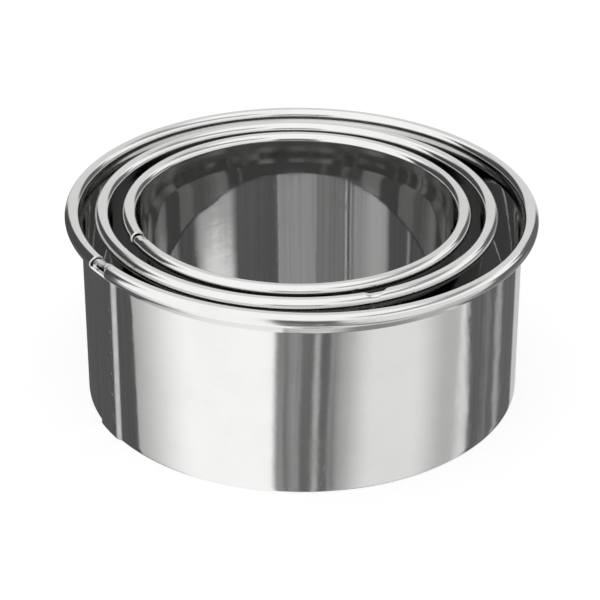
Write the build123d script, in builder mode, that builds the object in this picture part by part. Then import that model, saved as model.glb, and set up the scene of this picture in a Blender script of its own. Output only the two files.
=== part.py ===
from build123d import *

import math
import os

# A nested set of three round cutters, standing one inside the other on their cutting edges.
# Each cutter is one strip of stainless sheet, bent into a ring. Its top edge is curled outwards
# into a hollow rim. Its two ends lap: one end tucks behind and inside the other, and a row of
# spot welds holds them. +Z is up, and the origin is the large cutter's centre at the cutting edge.

# Sheet and height, shared by the three cutters
sheet = 0.4
height = 40.0

# Outside diameter of the large cutter at its cutting edge
large_diameter = 88.8

# Room all round between each cutter's wall and the rim of the next one inside it
medium_room = 3.4
small_room = 2.3

# Where the inner cutters stand, from the large cutter's centre
medium_shift_x = -1.05
medium_shift_y = -0.35
small_shift_x = -1.05
small_shift_y = -0.35

# Curled rim: the round part's outside diameter, and the room left where its free edge meets the wall
curl_diameter = 3.0
edge_room = 0.25

# The curl bends this many degrees past its outermost point, then runs straight in to the wall
flank_turn = 45.0

# Each wall leans out by its neck's width to reach the curl, over the neck's height
large_neck = 0.6
medium_neck = 0.1
small_neck = 0.6
neck_height = 2.0

# Lapped ends, measured along the wall
lap = 8.0
lap_gap = 0.1
curl_cut_back = 3.1
flank_relief = 1.0
joggle_start = 0.3
joggle_length = 1.5

# Spot welds, in one row up each lap
weld_diameter = 1.6
weld_inset = 2.7
weld_first = 4.4
weld_pitch = 4.7
weld_dimple = 0.06
weld_count = 6

# Angle of each lap about its own centre
large_seam_angle = 216.0
medium_seam_angle = 289.0
small_seam_angle = 208.5

# Which way the tucked strip runs from the lap: 1 is anticlockwise seen from above
large_hand = 1
medium_hand = -1
small_hand = 1

# One overrun serves every cut
overrun = 1.0

# Worked out
half_sheet = sheet / 2
curl_bend = (curl_diameter - sheet) / 2
curl_height = height - curl_diameter / 2
curl_overhang = 2 * curl_bend
neck_foot = curl_height - neck_height
lap_step = sheet + lap_gap
medium_diameter = large_diameter - 2 * (sheet + medium_room + medium_neck + curl_overhang)
small_diameter = medium_diameter - 2 * (sheet + small_room + small_neck + curl_overhang)

os.makedirs("parts", exist_ok=True)


def wall_middle(diameter):
    return diameter / 2 - half_sheet


def radial_plane(centre, angle):
    # Upright plane through the cutter's axis, with X running outwards and Y up
    turn = math.radians(angle)
    return Plane(
        origin=centre,
        x_dir=(math.cos(turn), math.sin(turn), 0),
        z_dir=(math.sin(turn), -math.cos(turn), 0),
    )


def strip_section(plane, wall, neck, bend, edge_stop):
    # Wall with its curl: wall is the wall's middle radius, bend the curl's middle radius, and
    # edge_stop the radius at which the middle of the curl's free edge stops
    turn = math.radians(flank_turn)
    flank_in = Vector(-math.sin(turn), -math.cos(turn))
    flank_out = Vector(math.cos(turn), -math.sin(turn))
    curl_wall = wall + neck
    centre = Vector(curl_wall + bend, curl_height)
    flank_start = centre + flank_out * bend
    # The flank runs in as far as the upright wall, or as the leaning neck where it meets that first
    reach = flank_start.X - edge_stop
    to_wall = reach / math.sin(turn)
    lean = neck / neck_height
    rise = lean * (flank_start.Y - neck_foot)
    to_neck = (reach - rise) / (math.sin(turn) - lean * math.cos(turn))
    flank_end = flank_start + flank_in * min(to_wall, to_neck)
    arc_half = (180 + flank_turn) / 2
    with BuildSketch(plane) as section:
        with BuildLine():
            Line((wall - half_sheet, 0), (wall - half_sheet, neck_foot))
            Line((wall - half_sheet, neck_foot), (curl_wall - half_sheet, curl_height))
            CenterArc(centre, bend + half_sheet, 180, -arc_half)
            CenterArc(centre, bend + half_sheet, 180 - arc_half, -arc_half)
            Line(flank_start + flank_out * half_sheet, flank_end + flank_out * half_sheet)
            Line(flank_end + flank_out * half_sheet, flank_end - flank_out * half_sheet)
            Line(flank_end - flank_out * half_sheet, flank_start - flank_out * half_sheet)
            CenterArc(centre, bend - half_sheet, 180 - arc_half, -arc_half)
            CenterArc(centre, bend - half_sheet, 180, -arc_half)
            Line((curl_wall + half_sheet, curl_height), (wall + half_sheet, neck_foot))
            Line((wall + half_sheet, neck_foot), (wall + half_sheet, 0))
            Line((wall + half_sheet, 0), (wall - half_sheet, 0))
        make_face()
    return section.sketch


def wall_section(plane, wall, neck):
    with BuildSketch(plane) as section:
        with BuildLine():
            Polyline(
                (wall - half_sheet, 0),
                (wall - half_sheet, neck_foot),
                (wall + neck - half_sheet, curl_height),
                (wall + neck + half_sheet, curl_height),
                (wall + half_sheet, neck_foot),
                (wall + half_sheet, 0),
                close=True,
            )
        make_face()
    return section.sketch


def weld_places(centre, wall, seam, hand):
    # Each weld starts at the middle of the inner layer and points outwards
    angle = seam - hand * math.degrees(weld_inset / wall)
    outwards = Vector(math.cos(math.radians(angle)), math.sin(math.radians(angle)), 0)
    foot = Vector(*centre) + outwards * wall
    heights = [weld_first + weld_pitch * number for number in range(weld_count)]
    return [Plane(origin=foot + Vector(0, 0, z), x_dir=(0, 0, 1), z_dir=outwards) for z in heights]


def build_cutter(name, diameter, neck, centre, seam, hand):
    wall = wall_middle(diameter)
    lapped_wall = wall + lap_step
    axis = Axis(centre, (0, 0, 1))
    closed_stop = wall + half_sheet + edge_room
    lapped_stop = lapped_wall + half_sheet + edge_room

    def angle_at(arc):
        # arc is a length along the wall, from the outer curl's cut end towards the tucked strip
        return seam + hand * math.degrees(arc / wall)

    def full_turn(arc):
        # The other end of the strip is one turn further on
        return angle_at(arc) + hand * 360

    def sweep(section, start, stop):
        low, high = sorted((start, stop))
        revolve(section(radial_plane(centre, low)), axis=axis, revolution_arc=high - low)

    def closed(plane):
        return strip_section(plane, wall, neck, curl_bend, closed_stop)

    def relieved(plane):
        return strip_section(plane, wall, neck, curl_bend, lapped_stop)

    def tucked(plane):
        return strip_section(plane, lapped_wall, neck, curl_bend - lap_step, lapped_stop)

    def plain(plane):
        return wall_section(plane, wall, neck)

    joggle_end = joggle_start + joggle_length
    with BuildPart() as band:
        # The tucked end lies outside the other wall and inside the other curl
        sweep(tucked, angle_at(-lap), angle_at(joggle_start))
        # It joggles in to the ring's own radius, and its curl opens to full size
        tucked_end = tucked(radial_plane(centre, angle_at(joggle_start)))
        closed_end = closed(radial_plane(centre, angle_at(joggle_end)))
        loft([tucked_end, closed_end], ruled=True)
        # Round the ring, then the other end, whose curl is cut shorter than its wall
        sweep(closed, angle_at(joggle_end), full_turn(-lap - flank_relief))
        sweep(relieved, full_turn(-lap - flank_relief), full_turn(-curl_cut_back))
        sweep(plain, full_turn(-curl_cut_back), full_turn(0))
        # Seats of the spot welds
        weld_length = lap_step + half_sheet - weld_dimple
        with Locations(*weld_places(centre, wall, seam, hand)):
            Cylinder(
                weld_diameter / 2,
                weld_length + overrun,
                align=(Align.CENTER, Align.CENTER, Align.MIN),
                mode=Mode.SUBTRACT,
            )
    with BuildPart() as welds:
        with Locations(*weld_places(centre, wall, seam, hand)):
            Cylinder(
                weld_diameter / 2,
                weld_length,
                align=(Align.CENTER, Align.CENTER, Align.MIN),
            )
    band.part.label = name + "_band"
    welds.part.label = name + "_spot_welds"
    export_step(band.part, "parts/" + band.part.label + ".step")
    export_step(welds.part, "parts/" + welds.part.label + ".step")


medium_centre = (medium_shift_x, medium_shift_y, 0)
small_centre = (small_shift_x, small_shift_y, 0)
build_cutter("large", large_diameter, large_neck, (0, 0, 0), large_seam_angle, large_hand)
build_cutter(
    "medium", medium_diameter, medium_neck, medium_centre, medium_seam_angle, medium_hand
)
build_cutter("small", small_diameter, small_neck, small_centre, small_seam_angle, small_hand)
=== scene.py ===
import math

import bpy
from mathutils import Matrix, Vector


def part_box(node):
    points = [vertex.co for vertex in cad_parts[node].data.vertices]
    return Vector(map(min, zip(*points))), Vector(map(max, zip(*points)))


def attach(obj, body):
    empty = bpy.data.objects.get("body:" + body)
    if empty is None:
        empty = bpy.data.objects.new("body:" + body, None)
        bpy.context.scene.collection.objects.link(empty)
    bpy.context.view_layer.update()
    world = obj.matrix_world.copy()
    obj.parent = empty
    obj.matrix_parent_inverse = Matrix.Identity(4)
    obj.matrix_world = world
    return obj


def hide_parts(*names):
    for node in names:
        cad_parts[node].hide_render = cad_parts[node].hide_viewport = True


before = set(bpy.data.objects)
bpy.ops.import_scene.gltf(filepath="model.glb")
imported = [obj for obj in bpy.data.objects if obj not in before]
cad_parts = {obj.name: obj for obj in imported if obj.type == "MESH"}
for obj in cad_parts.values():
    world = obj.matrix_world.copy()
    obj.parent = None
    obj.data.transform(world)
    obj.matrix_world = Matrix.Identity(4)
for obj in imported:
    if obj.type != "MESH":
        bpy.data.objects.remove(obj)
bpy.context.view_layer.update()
print("frame loaded:", len(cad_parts), "nodes")

# Metres. Each cutter's place, rim size and height are read from its CAD node, the rest is here.
# Along a strip, distances run from the outer curl's cut end towards the tucked strip.
sheetMetal = {
    "sheet": 0.0004,
    "curlDiameter": 0.003,
    "edgeRoom": 0.00025,       # left open between the curl's free edge and the wall
    "flankTurn": math.radians(45),
    "lap": 0.008,
    "lapGap": 0.0001,
    "relief": 0.002,           # the outer curl makes room for the tucked wall this much before the lap
    "joggleStart": -0.0014,
    "joggleLength": 0.0015,
    "wallCut": 0.0017,         # the covered wall end stops this much short, to leave the joggle room
    "opening": 0.0014,         # the tucked curl grows to full size over this, once out of the other
    "cutBlend": 0.006,         # the sections slant over this length to follow the curl's cut
    "flareLength": 0.0022,     # the outer curl opens a little over this length, up to its cut
    "sharpAngle": math.radians(50),
}

# Sizes of the mesh's rows and columns
rows = {
    "edgeRound": 0.00008,      # the sheared edges are eased by this much
    "eased": (0, 1, 3),        # rows beside a sheared edge, counted in edge rounds
    "pastCut": 2,              # the wall's first row past the curl's cut, counted the same way
    "plain": 5,                # the first plain row past the tucked end, counted the same way
    "endShares": (0.5, 0.93),  # how thick an eased edge is, at its end and one row in
    "wallStart": 0.0012,       # first plain row of the wall
    "wall": 20,
    "neck": 8,
    "curl": 44,
    "spacing": 0.0009,
    "fineSpacing": 0.00025,
    "finestSpacing": 0.00012,
    "finest": (-0.0035, 0.0026),  # stretch at the tucked curl's opening
    "fineEnd": 0.012,
}

# neck is how far the wall leans out to reach the curl, and neckHeight the height that it takes.
# cutLine gives, over the curl from the wall to its free edge, how far the curl is cut back.
# flare is how much wider the outer curl opens at its cut. A notch is a ragged hollow at the free
# edge of the tucked curl: from and to along the strip, how much of the curl is left there, the
# lengths over which it fades in and out, and its edge's waves as (share, radians a metre, start).
# lift and flat are small faults of a ring rolled by hand: how much the rim stands higher, and how
# much it is pressed in, each with the angle of its middle, and how wide the pressed-in place is.
cutters = {
    "large": {
        "neck": 0.0006,
        "neckHeight": 0.002,
        "seam": 216.0,
        "hand": 1,
        "cutLine": [(0.0, 0.0039), (0.35, 0.0036), (0.62, 0.0043), (0.85, 0.0021), (1.0, -0.0006)],
        "flare": 0.00004,
        "notch": {
            "from": -0.0030,
            "to": 0.0010,
            "left": 0.30,
            "fade": (0.0003, 0.0004),
            "ragged": [(0.05, 9200, 0), (0.04, 21000, 1)],
        },
        "lift": (0.00065, 206.0),
        "flat": (0.0007, 255.0, 34.0),
        "seed": 3,
    },
    "medium": {
        "neck": 0.0001,
        "neckHeight": 0.002,
        "seam": 289.0,
        "hand": -1,
        "cutLine": [(0.0, 0.0054), (0.2, 0.0050), (0.5, 0.0018), (1.0, 0.0012)],
        "flare": 0.00002,
        "notch": None,
        "lift": (0.0004, 200.0),
        "flat": None,
        "seed": 7,
    },
    "small": {
        "neck": 0.0006,
        "neckHeight": 0.006,
        "seam": 208.5,
        "hand": 1,
        "cutLine": [(0.0, 0.0034), (0.4, 0.0033), (0.62, 0.0028), (1.0, 0.0034)],
        "flare": 0.00005,
        "notch": None,
        "lift": (0.0003, 200.0),
        "flat": None,
        "seed": 11,
    },
}

# A thin polished sheet is never quite true. Each wave is (share, waves round the ring, turn for
# each seed, turn for each metre of height), and depths are in metres.
waves = {
    "slow": [(1.0, 2, 1.0, 0), (0.6, 3, 2.1, 0)],
    "slowDepth": 0.00004,
    "quick": [(1.0, 11, 0.4, 55), (0.7, 17, 0.0, -80)],
    "quickDepth": 0.000006,
    "fadeFrom": 0.55,          # share of the curl's height above which the stiff rim stills the waves
    "quickAtRim": 0.3,         # share of the quick waves that is left at the rim
}


def smooth(low, high, value):
    share = min(1.0, max(0.0, (value - low) / (high - low)))
    return share * share * (3 - 2 * share)


def between(points, place):
    # straight lines between (place, value) points
    for (x0, y0), (x1, y1) in zip(points, points[1:]):
        if place <= x1:
            return y0 + (y1 - y0) * max(0.0, (place - x0) / (x1 - x0))
    return points[-1][1]


def spread(start, stop, spacing):
    count = max(1, math.ceil((stop - start) / spacing))
    return [start + (stop - start) * i / count for i in range(count)]


# Worked out from these
halfSheet = sheetMetal["sheet"] / 2
lapStep = sheetMetal["sheet"] + sheetMetal["lapGap"]              # between the middles of two layers
joggleEnd = sheetMetal["joggleStart"] + sheetMetal["joggleLength"]
fullBend = (sheetMetal["curlDiameter"] - sheetMetal["sheet"]) / 2  # to the middle of the sheet
eased = [row * rows["edgeRound"] for row in rows["eased"]]


def ringSizes(name):
    low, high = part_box(name + "_band")
    wall = (high.x - low.x) / 2 - sheetMetal["curlDiameter"] - cutters[name]["neck"] + halfSheet
    turn = 2 * math.pi * wall
    return {
        "centre": Vector(((low.x + high.x) / 2, (low.y + high.y) / 2, 0)),
        "wall": wall,          # radius to the middle of its sheet
        "curlHeight": high.z - sheetMetal["curlDiameter"] / 2,
        "turn": turn,          # length of the strip once round
        "cutAt": turn - cutters[name]["cutLine"][0][1],
        "stopAt": turn - sheetMetal["wallCut"],
    }


rings = {name: ringSizes(name) for name in cutters}


def sheetWave(angle, z, seed, ring):
    def wave(kind):
        return sum(
            share * math.sin(count * angle + bySeed * seed + byHeight * z)
            for share, count, bySeed, byHeight in waves[kind]
        )

    free = 1 - smooth(waves["fadeFrom"], 1.0, z / ring["curlHeight"])
    quickFree = waves["quickAtRim"] + (1 - waves["quickAtRim"]) * free
    return waves["slowDepth"] * wave("slow") * free + waves["quickDepth"] * wave("quick") * quickFree


def strayed(name, angle, z):
    # how far a place of the sheet lies out of true: outwards, and up
    spec, ring = cutters[name], rings[name]
    lift, liftAt = spec["lift"]
    up = min(1.0, z / ring["curlHeight"])
    out = 0.0
    if spec["flat"]:
        flat, flatAt, flatWidth = spec["flat"]
        fromFlat = (math.degrees(angle) - flatAt + 180) % 360 - 180
        out = -flat * up * up * math.exp(-((fromFlat / flatWidth) ** 2))
    if z < ring["curlHeight"]:
        out += sheetWave(angle, z, spec["seed"], ring)
    return out, lift * up * math.cos(angle - math.radians(liftAt))


def tuckedBy(t):
    # how far out the tucked wall lies at place t of the strip
    return lapStep * (1 - smooth(sheetMetal["joggleStart"], joggleEnd, t))


def wallHeights(name):
    # heights of the wall's rows, from the cutting edge up to where the curl starts
    neckHeight = cutters[name]["neckHeight"]
    foot = rings[name]["curlHeight"] - neckHeight
    plain = foot - rows["wallStart"]
    heights = eased + [rows["wallStart"] + plain * i / rows["wall"] for i in range(rows["wall"])]
    return heights + [foot + neckHeight * i / rows["neck"] for i in range(rows["neck"] + 1)]


def wallPoints(name, t):
    # middle line of the wall's sheet at place t: (radius, height, normal r, normal z)
    neck, neckHeight = cutters[name]["neck"], cutters[name]["neckHeight"]
    middle = rings[name]["wall"] + tuckedBy(t)
    points = []
    for z in wallHeights(name):
        lean = (z - rings[name]["curlHeight"] + neckHeight) / neckHeight
        slope = 6 * lean * (1 - lean) * neck / neckHeight if lean > 0 else 0.0  # slope of smooth()
        tilt = math.atan(slope)
        points.append((middle + neck * smooth(0.0, 1.0, lean), z, math.cos(tilt), -math.sin(tilt)))
    return points


def curlLeft(notch, t):
    # how much of the curl is left at place t
    if not notch:
        return 1.0
    fadeIn, fadeOut = notch["fade"]
    ragged = sum(share * math.sin(count * t + start) for share, count, start in notch["ragged"])
    inside = smooth(notch["from"] - fadeIn, notch["from"], t)
    inside *= 1 - smooth(notch["to"] - fadeOut, notch["to"], t)
    return 1 - (1 - notch["left"] - ragged) * inside


def curlPoints(name, t):
    # the same for the curl, with the share of its length at which each point lies
    spec, ring, flank = cutters[name], rings[name], sheetMetal["flankTurn"]
    middle, cut = ring["wall"] + tuckedBy(t), spec["cutLine"][0][1]
    squeeze = lapStep / 2 * (1 - smooth(-cut, -cut + sheetMetal["opening"], t))
    bend = fullBend - tuckedBy(t) / 2 - squeeze
    bend += spec["flare"] * smooth(ring["cutAt"] - sheetMetal["flareLength"], ring["cutAt"], t)
    start = middle + spec["neck"]
    stop = middle + halfSheet + sheetMetal["edgeRoom"]
    if t > ring["turn"] - sheetMetal["lap"] - sheetMetal["relief"]:
        stop = max(stop, ring["wall"] + lapStep + halfSheet + sheetMetal["edgeRoom"])
    arcLength = bend * (math.pi + flank)
    flankStart = start + bend + bend * math.cos(flank)
    flankLength = (flankStart - stop) / math.sin(flank)
    total = (arcLength + flankLength) * curlLeft(spec["notch"], t)
    ends = [1 - ease / total for ease in reversed(eased)]
    steps = [(i + 1) / (rows["curl"] + 1) * ends[0] for i in range(rows["curl"])] + ends
    points = []
    for share in steps:
        along = share * total
        if along < arcLength:
            a = math.pi - along / bend
            r, z = start + bend + bend * math.cos(a), ring["curlHeight"] + bend * math.sin(a)
            points.append((r, z, -math.cos(a), -math.sin(a)))
        else:
            past = along - arcLength
            r = flankStart - past * math.sin(flank)
            z = ring["curlHeight"] - bend * math.sin(flank) - past * math.cos(flank)
            points.append((r, z, -math.cos(flank), math.sin(flank)))
    return points, steps


def sectionPlaces(name):
    # places of the sections along the strip, closer together at the lap, and the last with a curl
    ring, lapStart = rings[name], -sheetMetal["lap"]
    cutAt, stopAt, fineFrom = ring["cutAt"], ring["stopAt"], ring["turn"] - rows["fineEnd"]
    places = [lapStart + ease for ease in eased]
    places += spread(lapStart + rows["plain"] * rows["edgeRound"], rows["finest"][0], rows["fineSpacing"])
    places += spread(*rows["finest"], rows["finestSpacing"])
    places += spread(rows["finest"][1], fineFrom, rows["spacing"])
    places += spread(fineFrom, cutAt - eased[-1], rows["fineSpacing"])
    places += [cutAt - ease for ease in reversed(eased)]
    lastCurl = len(places) - 1
    places += spread(cutAt + rows["pastCut"] * rows["edgeRound"], stopAt - eased[-1], rows["fineSpacing"])
    places += [stopAt - ease for ease in reversed(eased)]
    return places, lastCurl


def thickness(row, edges):
    # share of the sheet's thickness at a row, each sheared edge given as (its row, way inwards)
    for edge, inwards in edges:
        if row == edge:
            return rows["endShares"][0]
        if row == edge + inwards:
            return rows["endShares"][1]
    return 1.0


def layPoints(name, places, lastCurl):
    # the strip's points, and the number of each by its (section, column, side)
    spec, ring = cutters[name], rings[name]
    cutAt, cutLine = ring["cutAt"], spec["cutLine"]
    verts, index = [], {}
    for j, place in enumerate(places):
        onWall = wallPoints(name, place)
        onCurl, steps = curlPoints(name, place)
        top, lastColumn = len(onWall) - 1, len(onWall) + len(onCurl) - 1
        endThick = thickness(j, [(0, 1), (lastCurl, -1), (len(places) - 1, -1)])
        for k, (r, z, nr, nz) in enumerate(onWall + onCurl if j <= lastCurl else onWall):
            t, thick = place, thickness(k, [(0, 1), (lastColumn, -1)])
            if k > top:
                skew = cutLine[0][1] - between(cutLine, steps[k - top - 1])
                t += skew * smooth(cutAt - sheetMetal["cutBlend"], cutAt, place)
            if k > top or j > lastCurl or j < 2:
                thick = min(thick, endThick)
            angle = math.radians(spec["seam"]) + spec["hand"] * t / ring["wall"]
            shift, rise = strayed(name, angle, z)
            for side in (-1, 1):
                radius = r + shift + side * halfSheet * thick * nr
                height = z + rise + side * halfSheet * thick * nz
                spot = ring["centre"] + Vector((radius * math.cos(angle), radius * math.sin(angle), height))
                index[j, k, side] = len(verts)
                verts.append(spot)
    return verts, index


def smoothMesh(name, verts, faces, slots=()):
    mesh = bpy.data.meshes.new(name)
    mesh.from_pydata(verts, [], faces)
    for face, slot in zip(mesh.polygons, slots):
        face.material_index = slot
    mesh.validate()
    mesh.shade_smooth()
    mesh.set_sharp_from_angle(angle=sheetMetal["sharpAngle"])
    return mesh


def addObject(name, data):
    made = bpy.data.objects.new(name, data)
    bpy.context.scene.collection.objects.link(made)
    return made


def buildBand(name):
    places, lastCurl = sectionPlaces(name)
    verts, index = layPoints(name, places, lastCurl)
    final, top = len(places) - 1, len(wallHeights(name)) - 1
    lastColumn = top + rows["curl"] + len(eased)
    faces, slots = [], []

    def quad(*corners):
        # the press has dulled the outside of the joggle, which takes the second material
        faces.append([index[c] for c in (corners if cutters[name]["hand"] > 0 else reversed(corners))])
        (j, k, side), far = corners[0], corners[2]
        bent = sheetMetal["joggleStart"] - halfSheet < places[j] < joggleEnd and j < lastCurl
        slots.append(1 if bent and k < top and side > 0 and far[2] > 0 else 0)

    for j in range(final):
        last = lastColumn if j < lastCurl else top
        for k in range(last):
            quad((j, k, -1), (j, k + 1, -1), (j + 1, k + 1, -1), (j + 1, k, -1))
            quad((j, k, 1), (j + 1, k, 1), (j + 1, k + 1, 1), (j, k + 1, 1))
        quad((j, 0, 1), (j, 0, -1), (j + 1, 0, -1), (j + 1, 0, 1))
        quad((j, last, -1), (j, last, 1), (j + 1, last, 1), (j + 1, last, -1))
    for k in range(lastColumn):
        quad((0, k, -1), (0, k, 1), (0, k + 1, 1), (0, k + 1, -1))
        if k >= top:
            quad((lastCurl, k, 1), (lastCurl, k, -1), (lastCurl, k + 1, -1), (lastCurl, k + 1, 1))
    for k in range(top):
        quad((final, k, 1), (final, k, -1), (final, k + 1, -1), (final, k + 1, 1))

    band = addObject(name + "_strip", smoothMesh(name + "Strip", verts, faces, slots))
    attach(band, name + "_cutter")
    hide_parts(name + "_band")
    print("band", name, len(verts), "points", len(faces), "faces")
    return band


bands = {name: buildBand(name) for name in cutters}


class Wire:
    # wraps a shader socket, so that its maths reads as Python
    def __init__(self, tree, socket=None):
        self.tree = tree
        self.socket = socket

    def node(self, kind, settings=None, sockets=None, out=0):
        made = self.tree.nodes.new(kind)
        for key, value in (settings or {}).items():
            setattr(made, key, value)
        for key, value in (sockets or {}).items():
            if isinstance(value, Wire):
                self.tree.links.new(value.socket, made.inputs[key])
            else:
                made.inputs[key].default_value = value
        return Wire(self.tree, made.outputs[out] if made.outputs else None)

    def sibling(self, out):
        # another output of the same node
        return Wire(self.tree, self.socket.node.outputs[out])

    def maths(self, operation, *values):
        return self.node("ShaderNodeMath", {"operation": operation}, dict(enumerate(values)))

    def __add__(self, other):
        return self.maths("ADD", self, other)

    def __radd__(self, other):
        return self.maths("ADD", other, self)

    def __sub__(self, other):
        return self.maths("SUBTRACT", self, other)

    def __rsub__(self, other):
        return self.maths("SUBTRACT", other, self)

    def __mul__(self, other):
        return self.maths("MULTIPLY", self, other)

    def __rmul__(self, other):
        return self.maths("MULTIPLY", other, self)

    def __neg__(self):
        return self.maths("MULTIPLY", self, -1.0)

    def ramp(self, low, high, kind="SMOOTHSTEP"):
        return self.node(
            "ShaderNodeMapRange",
            {"interpolation_type": kind},
            {"Value": self, "From Min": low, "From Max": high},
        )

    def mix(self, first, second):
        # self chooses between two colours
        return self.node(
            "ShaderNodeMix", {"data_type": "RGBA"}, {0: self, 6: first, 7: second}, out=2
        )

    def stretched(self, scale):
        return self.node("ShaderNodeVectorMath", {"operation": "MULTIPLY"}, {0: self, 1: scale})

    def noise(self, scale, detail, roughness=0.5):
        # self is the place that the noise is read at
        sockets = {"Vector": self, "Scale": scale, "Detail": detail, "Roughness": roughness}
        return self.node("ShaderNodeTexNoise", None, sockets)


def grey(shade):
    return (shade, shade, shade, 1)


def newMaterial(name):
    material = bpy.data.materials.new(name)
    material.use_nodes = True
    material.node_tree.nodes.clear()
    return material, Wire(material.node_tree)


def finishMetal(start, tint, roughness, relief):
    bump = start.node("ShaderNodeBump", None, {"Height": relief, "Distance": 1.0, "Strength": 1.0})
    shader = start.node(
        "ShaderNodeBsdfPrincipled",
        None,
        {"Base Color": tint, "Metallic": 1.0, "Roughness": roughness, "Normal": bump},
    )
    start.node("ShaderNodeOutputMaterial", None, {"Surface": shader})


# Depths are in metres. A noise is (scale, detail) or (scale, detail, roughness), its scale counted
# for each metre, and a range is where a noise starts to show and where it shows in full.
polish = {
    "steel": (0.86, 0.858, 0.852, 1),
    "smudged": (0.82, 0.815, 0.805, 1),
    "smudgedRange": (0.35, 0.75),
    "roughness": 0.045,
    "smudgeNoise": (70.0, 5.0, 0.6),
    "smudgeRange": (0.50, 0.78),
    "smudgeRoughness": 0.07,
    "rollScale": (26.0, 26.0, 900.0),
    "rollNoise": (1.0, 3.0, 0.6),
    "rollRange": (0.35, 0.75),
    "rollRoughness": 0.03,
    "rollDepth": 0.0000012,
    "rippleNoise": (210.0, 2.0),
    "rippleDepth": 0.000012,
    "scratchScale": (1.0, 1.4, 0.22),
    "scratchNoise": (900.0, 2.0, 0.7),
    "scratchRange": (0.655, 0.70),
    "patchNoise": (70.0 / 3, 3.0),   # the scratches come in patches
    "patchRange": (0.50, 0.62),
    "scratchRoughness": 0.10,
    "curlRoughness": 0.075,          # the curl keeps the satin of its dies
    "curlFade": 0.001,
}


def polishedSteel():
    # polished sheet: rolling lines round the ring, soft ripples, smudges and hairline scratches
    material, start = newMaterial("polishedSteel")
    place = start.node("ShaderNodeTexCoord", out="Object")
    rolled = place.stretched(polish["rollScale"]).noise(*polish["rollNoise"])
    ripple = place.noise(*polish["rippleNoise"])
    smudge = place.noise(*polish["smudgeNoise"])
    patchy = place.noise(*polish["patchNoise"])
    hair = place.stretched(polish["scratchScale"]).noise(*polish["scratchNoise"])
    scratch = hair.ramp(*polish["scratchRange"]) * patchy.ramp(*polish["patchRange"])
    height = start.node("ShaderNodeSeparateXYZ", None, {0: place}, out=2)
    curlFoot = rings["large"]["curlHeight"] - sheetMetal["curlDiameter"] / 2
    roughness = (
        polish["roughness"]
        + polish["smudgeRoughness"] * smudge.ramp(*polish["smudgeRange"])
        + polish["rollRoughness"] * rolled.ramp(*polish["rollRange"])
        + polish["scratchRoughness"] * scratch
        + polish["curlRoughness"] * height.ramp(curlFoot - polish["curlFade"], curlFoot)
    )
    relief = rolled * polish["rollDepth"] + ripple * polish["rippleDepth"]
    tint = smudge.ramp(*polish["smudgedRange"]).mix(polish["steel"], polish["smudged"])
    finishMetal(start, tint, roughness, relief)
    return material


worked = {
    "steel": (0.62, 0.615, 0.605, 1),
    "rubbed": (0.50, 0.495, 0.485, 1),
    "patchNoise": (300.0, 3.0),
    "patchRange": (0.35, 0.7),
    "roughness": 0.30,
    "patchRoughness": 0.14,
    "grainScale": (3200.0, 3200.0, 500.0),
    "grainNoise": (1.0, 3.0),
    "grainDepth": 0.000003,
}


def workedSteel():
    # where a press has bent the sheet, its polish has gone dull
    material, start = newMaterial("workedSteel")
    place = start.node("ShaderNodeTexCoord", out="Object")
    grain = place.stretched(worked["grainScale"]).noise(*worked["grainNoise"])
    patch = place.noise(*worked["patchNoise"])
    tint = patch.mix(worked["steel"], worked["rubbed"])
    roughness = worked["roughness"] + worked["patchRoughness"] * patch.ramp(*worked["patchRange"])
    finishMetal(start, tint, roughness, grain * worked["grainDepth"])
    return material


steel, bentSteel = polishedSteel(), workedSteel()
for band in bands.values():
    band.data.materials.append(steel)
    band.data.materials.append(bentSteel)


# Spot welds in one row up each lap: round plugs through both layers, shallowly dished at both ends
welds = {
    "diameter": 0.0016,
    "inset": 0.0027,
    "first": 0.0044,
    "pitch": 0.0047,
    "count": 6,
    "clear": 0.000012,         # each end stands this much clear of the sheet
    "lip": 0.000009,           # height of the lip round the dish
    "lipShares": (0.86, 0.10),  # where the lip lies and how wide it is, as shares of the radius
    "dish": 0.000018,
    "dishShares": (0.1, 0.8),  # where the dish's floor ends and where its side ends
    "points": 28,
    "rings": 7,
}


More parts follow.
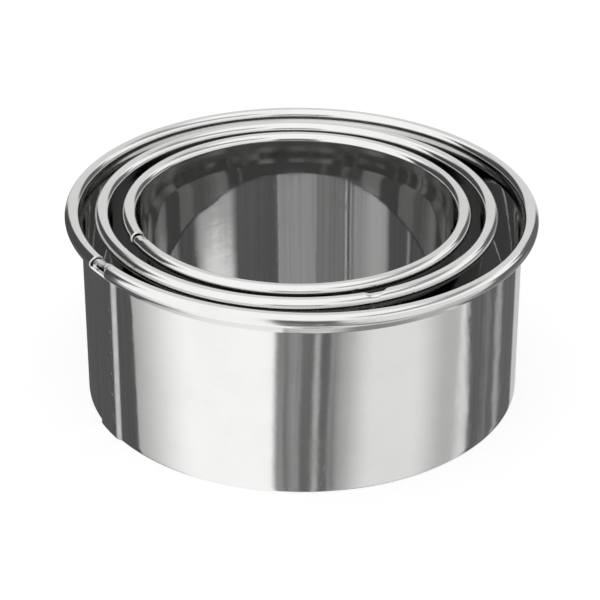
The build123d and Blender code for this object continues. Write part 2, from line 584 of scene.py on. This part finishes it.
def buildWelds(name):
    spec, ring = cutters[name], rings[name]
    radius = welds["diameter"] / 2
    inside, outside = ring["wall"] - halfSheet, ring["wall"] + lapStep + halfSheet
    angle = math.radians(spec["seam"]) - spec["hand"] * welds["inset"] / ring["wall"]
    outwards = Vector((math.cos(angle), math.sin(angle), 0))
    sideways, up = Vector((-math.sin(angle), math.cos(angle), 0)), Vector((0, 0, 1))
    shares = [i / welds["rings"] for i in range(1, welds["rings"] + 1)]
    lipAt, lipWidth = welds["lipShares"]
    count = welds["points"]
    length = 1 + count * len(shares)
    verts, faces = [], []
    for number in range(welds["count"]):
        z = welds["first"] + welds["pitch"] * number
        shift, rise = strayed(name, angle, z)
        first = len(verts)
        for depth, way in ((inside + shift, -1), (outside + shift, 1)):
            for share in [0.0] + shares:
                lip = welds["lip"] * math.exp(-(((share - lipAt) / lipWidth) ** 2))
                dish = welds["dish"] * (1 - smooth(*welds["dishShares"], share))
                proud = way * (lip - dish + welds["clear"])
                for i in range(count if share else 1):
                    turn = 2 * math.pi * i / count
                    across, height = radius * share * math.cos(turn), radius * share * math.sin(turn)
                    sag = across * across / (2 * depth)
                    place = outwards * (depth + proud - sag) + sideways * across + up * (z + rise + height)
                    verts.append(ring["centre"] + place)
        for side in (0, 1):
            base = first + side * length
            for i in range(count):
                after = (i + 1) % count
                fan = (base, base + 1 + i, base + 1 + after)
                faces.append(fan if side else fan[::-1])
                for row in range(len(shares) - 1):
                    low, high = base + 1 + row * count, base + 1 + (row + 1) * count
                    patch = (low + i, high + i, high + after, low + after)
                    faces.append(patch if side else patch[::-1])
        rimA, rimB = first + length - count, first + 2 * length - count
        for i in range(count):
            after = (i + 1) % count
            faces.append((rimA + i, rimB + i, rimB + after, rimA + after)[::-1])
    made = addObject(name + "_welds", smoothMesh(name + "Welds", verts, faces))
    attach(made, name + "_cutter")
    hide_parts(name + "_spot_welds")
    print("welds", name, len(faces), "faces")
    return made


weldFinish = {
    "steel": (0.84, 0.835, 0.825, 1),
    "heated": (0.72, 0.70, 0.66, 1),
    "blotchNoise": (1500.0, 3.0),
    "heatedRange": (0.35, 0.7),
    "roughness": 0.10,
    "blotchRoughness": 0.10,
    "grainNoise": (9000.0, 2.0),
    "grainDepth": 0.0000012,
}


def weldMetal():
    # pressed by the electrode: a satin ring with a faint heat tint, polished over afterwards
    material, start = newMaterial("weldMetal")
    place = start.node("ShaderNodeTexCoord", out="Object")
    blotch = place.noise(*weldFinish["blotchNoise"])
    grain = place.noise(*weldFinish["grainNoise"])
    tint = blotch.ramp(*weldFinish["heatedRange"]).mix(weldFinish["steel"], weldFinish["heated"])
    roughness = weldFinish["roughness"] + weldFinish["blotchRoughness"] * blotch
    finishMetal(start, tint, roughness, grain * weldFinish["grainDepth"])
    return material


weldSteel = weldMetal()
for name in cutters:
    buildWelds(name).data.materials.append(weldSteel)
print("materials made")


camera = {
    "target": Vector((0, 0, 0.020)),
    "distance": 0.480,
    "elevation": math.radians(29.08),
    "lens": 140.4,
    "shift": (-0.0033, -0.0169),
    "sensor": 36,
    "clip": (0.01, 50),
}


def placeCamera():
    data = bpy.data.cameras.new("camera")
    made = addObject("camera", data)
    back = Vector((0, -math.cos(camera["elevation"]), math.sin(camera["elevation"])))
    made.location = camera["target"] + back * camera["distance"]
    made.rotation_euler = (-back).to_track_quat("-Z", "Y").to_euler()
    data.lens = camera["lens"]
    data.sensor_width = camera["sensor"]
    data.shift_x, data.shift_y = camera["shift"]
    data.clip_start, data.clip_end = camera["clip"]
    bpy.context.scene.camera = made


placeCamera()

# The white studio as the metal sees it, with the grey and black flags hung in it. Each flag is
# (from, to, low, high, shade, side softness, end softness), in degrees of compass and of height:
# 0 is to the viewer's right, 90 behind the cutters, 270 towards the viewer. Later flags lie in front.
studio = {
    "white": 1.06,
    "ambient": 0.7,
    "wobble": 3.0,             # degrees by which the flags' edges stray
    "wobbleNoise": (5.0, 2.0),
    "grainNoise": (1.0, 3.0, 0.6),
    "fringe": (0.10, 2.6),     # grain of the feathered edges on the right, both ways
    "fringeReach": 16.0,       # and how far they stray
    "fringeSide": (-14, 52),
    "fringeSoft": 6,
    "fringeBelow": (-14.0, -20.0),  # heights between which the feathering comes in
    "streaks": (0.5, 0.10),    # grain of the faint upright streaks in the dark flags
    "streakDepth": 0.9,
    "streaksUnder": 0.3,       # flags darker than this are streaked
    "flags": [
        (300, 420, 43, 58, 0.30, 10, 6),      # strip overhead, behind and to the right
        (56, 122, -95, 60, 0.74, 3, 4),       # far wall
        (62, 118, -50, -14, 0.58, 3, 3),
        (150, 190, -60, -14, 0.42, 24, 4),    # left wall, from grey to white
        (118, 180, -20, 42, 0.065, 2, 6),     # black flag on the left
        (100, 172, -60, -12, 0.095, 1, 6),
        (286, 366, -60, 26, 0.82, 4, 7),      # right front
        (340, 366, -60, -14, 0.50, 12, 4),
        (0.5, 4.5, -60, -14, 0.77, 1.4, 4),
        (6, 61, -55, 14, 0.13, 2.5, 3),       # black flag on the right
        (34, 61, 8, 29, 0.12, 3, 2),
        (20, 26, -55, -14, 0.19, 2, 3),
        (32.5, 39.5, -55, -14, 0.36, 2, 3),
        (0, 8, -60, -30.6, 0.72, 3, 1.0),
        (262, 296, -60, -14, 0.36, 11, 4),
        (255, 286, -18, 27, 0.12, 3, 9),      # the viewer's side
        (255.5, 287, -60, -14, 0.27, 2, 2),
        (260, 262.5, -60, -14, 0.20, 1, 4),
        (268.5, 274.5, -60, -14, 0.155, 1.2, 4),
        (275, 277.3, -60, -14, 0.42, 0.9, 4),
        (278, 282.5, -60, -14, 0.14, 1, 4),
        (0, 62, -95, -47, 0.45, 8, 5),        # the table, below
        (256, 315, -95, -46, 0.13, 3, 4),
        (256, 315, -73, -58, 0.97, 3, 3),
        (302, 345, -72, -48, 0.30, 6, 5),
    ],
    # The same room seen off the table inside the small ring, where only a strip of light gets down
    "inside": 0.078,
    "insideFlags": [
        (320, 352, -90, -10, 0.36, 5, 1),
        (321, 345, -60, -28.0, 0.72, 5, 0.8),
        (284.6, 317, -90, 90, 0.093, 1, 1),
        (255.5, 284.6, -90, 90, 0.28, 0.8, 1),
        (233, 255.5, -90, 90, 0.175, 1.2, 1),
        (230.6, 232.2, -90, 90, 0.40, 0.6, 1),
        (227.3, 228.7, -90, 90, 0.33, 0.5, 1),
        (196, 226.4, -90, 90, 0.27, 2.5, 1),
        (199, 215, -90, 90, 0.36, 6, 1),
        (173.8, 176.4, -90, 90, 0.24, 1, 1),
        (47, 55, -90, 90, 0.16, 3, 1),
        (13, 24, -90, 90, 0.19, 3, 1),
    ],
    "lost": 0.6,               # share of it that is lost where the metal sees it by two bounces or more
    "lostShade": 0.04,
}


def buildWorld():
    world = bpy.data.worlds.new("studio")
    bpy.context.scene.world = world
    world.use_nodes = True
    world.node_tree.nodes.clear()
    start = Wire(world.node_tree)
    direction = start.node("ShaderNodeTexCoord", out="Generated")
    x = start.node("ShaderNodeSeparateXYZ", None, {0: direction})
    y, z = x.sibling(1), x.sibling(2)
    stray = (direction.noise(*studio["wobbleNoise"]) - 0.5) * studio["wobble"]
    compass = start.maths("ARCTAN2", -y, -x) * (180 / math.pi) + 180 + stray
    elevation = start.maths("ARCSINE", z) * (180 / math.pi) + stray

    def grain(across, upright):
        place = start.node("ShaderNodeCombineXYZ", None, {0: compass * across, 1: elevation * upright})
        return place.noise(*studio["grainNoise"])

    def awayFrom(middle):
        # degrees of compass from the middle of a flag, either way
        return start.maths("ABSOLUTE", start.maths("WRAP", compass - middle, 180.0, -180.0))

    low, high = studio["fringeSide"]
    wide = (high - low) / 2
    onRight = 1 - awayFrom((low + high) / 2).ramp(wide - studio["fringeSoft"], wide)
    feather = (grain(*studio["fringe"]) - 0.5) * studio["fringeReach"] * onRight
    streaks = 1 + (grain(*studio["streaks"]) - 0.5) * studio["streakDepth"]
    compass = compass + feather * elevation.ramp(*studio["fringeBelow"], "LINEAR")

    def hang(flags, seen):
        for fromAngle, toAngle, low, high, shade, side, end in flags:
            away = awayFrom((fromAngle + toAngle) / 2)
            wide, tall = (toAngle - fromAngle) / 2, (high - low) / 2
            mask = 1 - away.ramp(wide - side, wide + side)
            if tall < 90:
                above = start.maths("ABSOLUTE", elevation - (low + high) / 2)
                mask = mask * (1 - above.ramp(tall - end, tall + end))
            seen = mask.mix(seen, streaks * shade if shade < studio["streaksUnder"] else grey(shade))
        return seen

    isCamera = start.node("ShaderNodeLightPath", out="Is Camera Ray")
    isGlossy = isCamera.sibling("Is Glossy Ray")
    offTable = start.maths("GREATER_THAN", isCamera.sibling("Transparent Depth"), 0.5)
    deeper = start.maths("GREATER_THAN", isCamera.sibling("Glossy Depth"), 1.5)
    outside = hang(studio["flags"], grey(studio["white"]))
    # painted shade for what the metal sees inside the small ring, darker still after two glossy bounces
    inside = hang(studio["insideFlags"], streaks * studio["inside"])
    inside = (deeper * studio["lost"]).mix(inside, grey(studio["lostShade"]))
    lit = isGlossy.mix(grey(studio["ambient"]), offTable.mix(outside, inside))
    shown = isCamera.mix(lit, grey(1))
    surface = start.node("ShaderNodeBackground", None, {"Color": shown, "Strength": 1.0})
    start.node("ShaderNodeOutputWorld", None, {"Surface": surface})


buildWorld()

table = {
    "half": 3.0,
    "shade": 0.8,
    "glow": 0.50,              # added for the camera alone, so that the table runs into the white
}


def stageMesh(name, verts, faces):
    mesh = bpy.data.meshes.new(name)
    mesh.from_pydata(verts, [], faces)
    made = addObject(name, mesh)
    material, start = newMaterial(name + "Finish")
    mesh.materials.append(material)
    return made, start


def buildFloor():
    half = table["half"]
    corners = [(-half, -half, 0), (half, -half, 0), (half, half, 0), (-half, half, 0)]
    floor, start = stageMesh("floor", corners, [(0, 1, 2, 3)])
    floor.visible_glossy = False
    isCamera = start.node("ShaderNodeLightPath", out="Is Camera Ray")
    diffuse = start.node("ShaderNodeBsdfDiffuse", None, {"Color": grey(table["shade"])})
    glow = start.node("ShaderNodeEmission", None, {"Color": grey(1), "Strength": isCamera * table["glow"]})
    both = start.node("ShaderNodeAddShader", None, {0: diffuse, 1: glow})
    start.node("ShaderNodeOutputMaterial", None, {"Surface": both})


buildFloor()

# What the metal sees of the table inside the nest, where little light gets down between the rings
shadows = {
    "height": 0.0002,
    "points": 96,
    "between": 0.05,
    "foot": 0.0005,            # the painted dark line of shade where the small ring stands
}


def glossyOnly(piece):
    piece.visible_camera = False
    piece.visible_diffuse = False
    piece.visible_shadow = False
    piece.visible_transmission = False


def circle(centre, radius):
    turns = [2 * math.pi * i / shadows["points"] for i in range(shadows["points"])]
    return [centre + Vector((radius * math.cos(a), radius * math.sin(a), shadows["height"])) for a in turns]


def buildShadows():
    small, large = rings["small"], rings["large"]
    inner = circle(small["centre"], small["wall"] - halfSheet - shadows["foot"])
    outer = circle(large["centre"], large["wall"] - sheetMetal["sheet"])
    count = len(inner)
    ring = [(i, (i + 1) % count, count + (i + 1) % count, count + i) for i in range(count)]
    # a dark glowing ring between the rings, seen by glossy rays alone: painted shade in the gaps
    between, start = stageMesh("shadowBetween", inner + outer, ring)
    glossyOnly(between)
    shade = start.node("ShaderNodeEmission", None, {"Color": grey(shadows["between"]), "Strength": 1.0})
    start.node("ShaderNodeOutputMaterial", None, {"Surface": shade})

    # a clear disc: the studio tells by it what is seen off the table inside the ring, and shows there its
    # darker inside flags as painted shade
    inside, start = stageMesh("clearInside", inner, [tuple(range(count))])
    glossyOnly(inside)
    through = start.node("ShaderNodeBsdfTransparent", None, {"Color": grey(1)})
    start.node("ShaderNodeOutputMaterial", None, {"Surface": through})


buildShadows()
print("stage made")

bpy.context.scene.view_settings.view_transform = "Standard"
